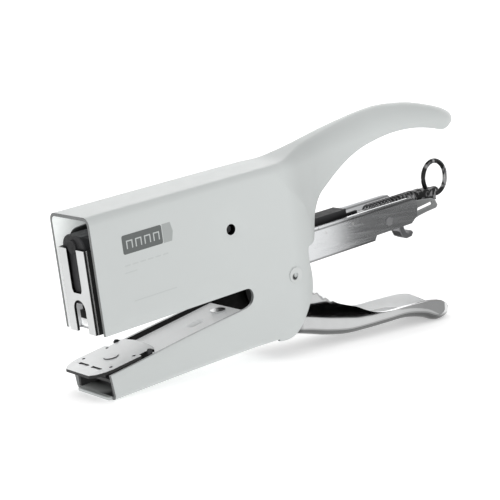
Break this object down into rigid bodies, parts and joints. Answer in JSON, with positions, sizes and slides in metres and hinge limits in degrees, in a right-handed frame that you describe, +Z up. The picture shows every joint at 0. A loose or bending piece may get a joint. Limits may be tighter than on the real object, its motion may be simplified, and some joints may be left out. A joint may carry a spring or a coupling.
{
  "type": "plier stapler",
  "caption": "Hand-held plier stapler with a pressed steel body, chromed squeeze lever, swinging spring-fed magazine, sliding anvil plate and rear pull ring.",
  "frame": {"origin": "centre of the bounding box's bottom face, on the surface that the stapler stands on", "axes": "+X from the nose to the ring end, +Y towards the far side plate, +Z up; the stapler stands on the front of its lower jaw and the tip of its lower handle"},
  "size_m": [0.1836, 0.025, 0.0894],
  "materials": {
    "body_paint": "satin light grey",
    "chrome": "polished",
    "bright_steel": "nickel plated",
    "magazine_steel": "plated",
    "black_steel": "black oxide",
    "spring_steel": "oiled spring steel",
    "zinc": "zinc plated"
  },
  "bodies": {
    "frame": {"body_shell": "body_paint", "pivot_studs": "zinc", "pivot_washers": "zinc", "anvil_bed": "bright_steel", "anvil_base": "bright_steel", "anvil_rivets": "zinc", "anvil_clip": "spring_steel", "spring_anchor": "zinc", "anchor_pin": "zinc", "lever_stop": "black_steel", "return_spring": "spring_steel"},
    "lever": {"lower_handle": "chrome", "drive_pin": "bright_steel", "spring_pin": "zinc"},
    "magazine": {"magazine_channel": "magazine_steel", "staple_core": "magazine_steel", "head_plate": "magazine_steel", "head_rivets": "zinc", "guide_block": "black_steel", "guide_rivets": "zinc", "rear_bracket": "magazine_steel", "bracket_rivets": "zinc", "catch_pin": "zinc"},
    "catch": {"catch_hook": "spring_steel"},
    "driver": {"driver_blade": "black_steel", "driver_head": "black_steel"},
    "rod": {"pusher_rod": "bright_steel", "rod_sleeve": "spring_steel", "rod_end_piece": "black_steel", "pull_ring": "spring_steel", "pusher_spring": "spring_steel"},
    "pusher": {"pusher": "magazine_steel"},
    "anvil": {"anvil_plate": "bright_steel"}
  },
  "joints": [
    {"name": "lever_hinge", "type": "hinge", "parent": "frame", "child": "lever", "pos_m": [-0.0027, 0, 0.03136], "axis": [0, -1, 0], "range_deg": [0, 15], "stiffness_Nm_per_rad": 1, "springref_deg": -28.65, "deforming": ["return_spring"]},
    {"name": "magazine_hinge", "type": "hinge", "parent": "frame", "child": "magazine", "pos_m": [-0.0027, 0, 0.03136], "axis": [0, -1, 0], "range_deg": [0, 7.81]},
    {"name": "driver_slide", "type": "slide", "parent": "magazine", "child": "driver", "axis": [0.1115, 0, -0.9938], "range_m": [0, 0.00978]},
    {"name": "rod_slide", "type": "slide", "parent": "magazine", "child": "rod", "axis": [0.9938, 0, 0.1115], "range_m": [0, 0.05]},
    {"name": "pusher_slide", "type": "slide", "parent": "rod", "child": "pusher", "axis": [0.9938, 0, 0.1115], "range_m": [0, 0.034], "stiffness_N_per_m": 30, "springref_m": -0.08, "deforming": ["pusher_spring"]},
    {"name": "catch_hinge", "type": "hinge", "parent": "magazine", "child": "catch", "pos_m": [0.05847, 0, 0.04406], "axis": [0, 1, 0], "range_deg": [0, 14], "stiffness_Nm_per_rad": 0.02, "springref_deg": -17.19},
    {"name": "anvil_slide", "type": "slide", "parent": "frame", "child": "anvil", "axis": [0.9777, 0, 0.2098], "range_m": [0, 0.0027]}
  ],
  "couplings": [
    {"joint": "magazine_hinge", "follows": "lever_hinge", "ratio": 0.52},
    {"joint": "driver_slide", "follows": "lever_hinge", "m_per_rad": 0.037318}
  ]
}
